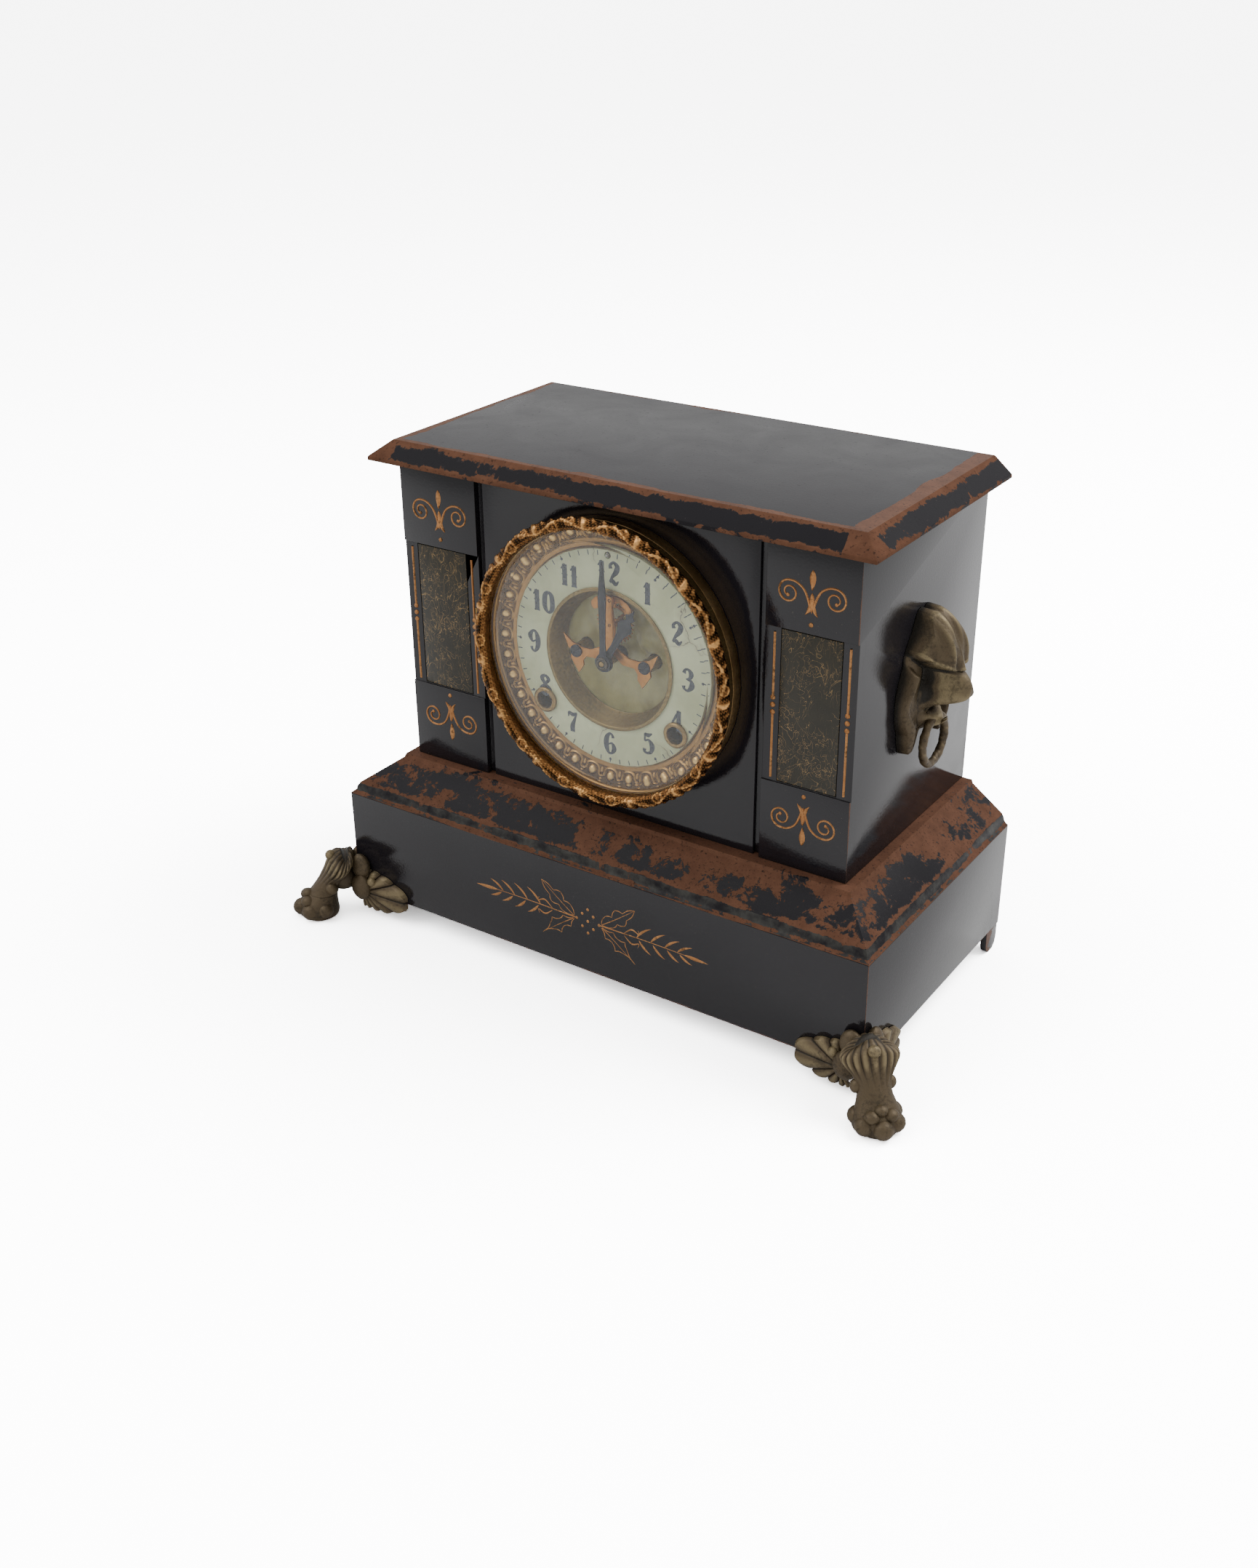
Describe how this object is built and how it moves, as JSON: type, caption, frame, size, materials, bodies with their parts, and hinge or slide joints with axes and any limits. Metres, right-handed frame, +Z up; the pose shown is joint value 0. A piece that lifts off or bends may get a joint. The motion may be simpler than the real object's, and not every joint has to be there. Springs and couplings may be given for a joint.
{
  "type": "mantel clock",
  "caption": "Black iron mantel clock with marble side panels, lion masks with rings, winged paw feet, a visible escapement in an enamel dial, and a pendulum movement that strikes a gong.",
  "frame": {"origin": "bottom centre of the bounding box, on the surface the clock stands on", "axes": "-Y is the dial side, +X is to the right as seen facing the dial, +Z is up"},
  "size_m": [0.4046, 0.2052, 0.2889],
  "materials": {
    "black_enamel": "glossy black baked enamel on cast iron, chipped and rusted at the edges",
    "marble": "polished dark olive marble with fine gold-brown veins",
    "spelter": "patinated olive-brown cast metal",
    "brass": "satin aged brass",
    "gilt": "aged gilt with dark crevices",
    "enamel_dial": "greenish cream vitreous enamel with hairline cracks",
    "glass": "clear bevelled glass",
    "blued_steel": "dark blued steel",
    "steel": "satin nickel-grey steel",
    "tinplate": "dull tinned sheet with spots"
  },
  "bodies": {
    "case": {"back_plate": "brass", "base_plinth": "black_enamel", "bezel_hinge": "brass", "bridge_post_left": "brass", "bridge_post_right": "brass", "case_back": "black_enamel", "case_body": "black_enamel", "case_lid": "black_enamel", "centre_dial": "enamel_dial", "chapter_ring": "enamel_dial", "dial_pan": "brass", "dial_well": "brass", "escapement_bridge": "gilt", "foot_front_left": "spelter", "foot_front_right": "spelter", "front_plate": "brass", "going_mainspring": "steel", "gong": "blued_steel", "gong_stand": "spelter", "lion_mask_left": "spelter", "lion_mask_right": "spelter", "marble_panel_left": "marble", "marble_panel_right": "marble", "paw_front_left": "spelter", "strike_mainspring": "steel", "suspension_cock": "brass", "winding_collar_left": "brass", "winding_collar_right": "brass"},
    "door": {"bezel_flange": "brass", "bezel_casting": "gilt", "bezel_glass": "glass"},
    "cover": {"back_cover": "tinplate"},
    "latch": {"back_cover_latch": "brass"},
    "minute": {"centre_wheel": "brass", "minute_hand": "blued_steel", "hand_nut": "brass"},
    "hour": {"hour_wheel": "brass", "hour_hand": "blued_steel"},
    "motion_wheel": {"minute_wheel": "brass"},
    "going_second": {"going_second_wheel": "brass"},
    "going_great": {"going_great_wheel": "brass"},
    "third": {"third_wheel": "brass"},
    "escape": {"escape_wheel": "gilt"},
    "anchor": {"pallet_anchor": "gilt"},
    "going_arbor": {"going_winding_arbor": "steel"},
    "strike_arbor": {"strike_winding_arbor": "steel"},
    "strike_great": {"strike_great_wheel": "brass", "count_wheel": "brass"},
    "strike_second": {"strike_second_wheel": "brass"},
    "fly": {"strike_fly": "brass"},
    "hammer": {"strike_hammer": "brass"},
    "pendulum": {"suspension_rod": "brass", "pendulum_rod": "brass", "pendulum_bob": "brass"},
    "nut": {"rating_nut": "brass"},
    "ring_left": {"mask_ring_left": "spelter"},
    "ring_right": {"mask_ring_right": "spelter"},
    "regulator": {"regulator_arbor": "steel"},
    "key": {"winding_key": "steel"}
  },
  "joints": [
    {"name": "door_hinge", "type": "hinge", "parent": "case", "child": "door", "pos_m": [-0.084, -0.04686, 0.1945], "axis": [0, 0, -1], "range_deg": [0, 105]},
    {"name": "cover_hinge", "type": "hinge", "parent": "case", "child": "cover", "pos_m": [-0.0705, 0.10025, 0.187], "axis": [0, 0, 1], "range_deg": [0, 120]},
    {"name": "latch_turn", "type": "hinge", "parent": "case", "child": "latch", "pos_m": [0.073, 0.09964, 0.187], "axis": [0, 1, 0], "range_deg": [0, 90]},
    {"name": "minute_spin", "type": "hinge", "parent": "case", "child": "minute", "pos_m": [0, -0.04036, 0.1945], "axis": [0, 1, 0], "continuous": true},
    {"name": "hour_spin", "type": "hinge", "parent": "case", "child": "hour", "pos_m": [0, -0.04036, 0.1945], "axis": [0, 1, 0], "continuous": true},
    {"name": "motion_spin", "type": "hinge", "parent": "case", "child": "motion_wheel", "pos_m": [-0.00868, -0.02535, 0.18582], "axis": [0, 1, 0], "continuous": true},
    {"name": "going_second_spin", "type": "hinge", "parent": "case", "child": "going_second", "pos_m": [0.01968, -0.00036, 0.18892], "axis": [0, 1, 0], "continuous": true},
    {"name": "going_great_spin", "type": "hinge", "parent": "case", "child": "going_great", "pos_m": [0.0415, -0.01336, 0.1621], "axis": [0, 1, 0], "continuous": true},
    {"name": "third_spin", "type": "hinge", "parent": "case", "child": "third", "pos_m": [0.01393, -0.00036, 0.20631], "axis": [0, 1, 0], "continuous": true},
    {"name": "escape_spin", "type": "hinge", "parent": "case", "child": "escape", "pos_m": [0, -0.01035, 0.2133], "axis": [0, 1, 0], "continuous": true},
    {"name": "anchor_rock", "type": "hinge", "parent": "case", "child": "anchor", "pos_m": [0, -0.01035, 0.2269], "axis": [0, 1, 0], "range_deg": [-4.2, 4.2]},
    {"name": "going_winding", "type": "hinge", "parent": "case", "child": "going_arbor", "pos_m": [0.0415, -0.02036, 0.1621], "axis": [0, 1, 0], "continuous": true},
    {"name": "strike_winding", "type": "hinge", "parent": "case", "child": "strike_arbor", "pos_m": [-0.0415, -0.02036, 0.1621], "axis": [0, 1, 0], "continuous": true},
    {"name": "strike_great_spin", "type": "hinge", "parent": "case", "child": "strike_great", "pos_m": [-0.0415, -0.01336, 0.1621], "axis": [0, 1, 0], "continuous": true},
    {"name": "strike_second_spin", "type": "hinge", "parent": "case", "child": "strike_second", "pos_m": [-0.01968, -0.00036, 0.18892], "axis": [0, 1, 0], "continuous": true},
    {"name": "fly_spin", "type": "hinge", "parent": "case", "child": "fly", "pos_m": [-0.02991, -0.00036, 0.20664], "axis": [0, 1, 0], "continuous": true},
    {"name": "hammer_swing", "type": "hinge", "parent": "case", "child": "hammer", "pos_m": [-0.05, 0.01964, 0.2205], "axis": [0, -1, 0], "range_deg": [0, 12]},
    {"name": "pendulum_swing", "type": "hinge", "parent": "case", "child": "pendulum", "pos_m": [0, 0.02965, 0.2385], "axis": [0, 1, 0], "range_deg": [-3, 3]},
    {"name": "nut_turn", "type": "hinge", "parent": "pendulum", "child": "nut", "pos_m": [0, 0.02965, 0.0709], "axis": [0, 0, 1], "continuous": true},
    {"name": "ring_left_swing", "type": "hinge", "parent": "case", "child": "ring_left", "pos_m": [-0.151, 0.03064, 0.1705], "axis": [0, 1, 0], "range_deg": [-5, 60]},
    {"name": "ring_right_swing", "type": "hinge", "parent": "case", "child": "ring_right", "pos_m": [0.151, 0.03064, 0.1705], "axis": [0, -1, 0], "range_deg": [-5, 60]},
    {"name": "regulator_turn", "type": "hinge", "parent": "case", "child": "regulator", "pos_m": [0, -0.01035, 0.2517], "axis": [0, 1, 0], "range_deg": [-180, 180]},
    {"name": "key_lift", "type": "slide", "parent": "case", "child": "key", "axis": [0, 0, 1], "range_m": [0, 0.03]}
  ],
  "couplings": [
    {"joint": "hour_spin", "follows": "minute_spin", "ratio": 0.083333},
    {"joint": "motion_spin", "follows": "minute_spin", "ratio": -0.25},
    {"joint": "going_second_spin", "follows": "minute_spin", "ratio": -0.2},
    {"joint": "going_great_spin", "follows": "minute_spin", "ratio": 0.04},
    {"joint": "third_spin", "follows": "minute_spin", "ratio": -7},
    {"joint": "escape_spin", "follows": "minute_spin", "ratio": 42},
    {"joint": "strike_second_spin", "follows": "strike_great_spin", "ratio": -5},
    {"joint": "fly_spin", "follows": "strike_great_spin", "ratio": 25},
    {"joint": "anchor_rock", "follows": "pendulum_swing", "ratio": 1.3135}
  ]
}
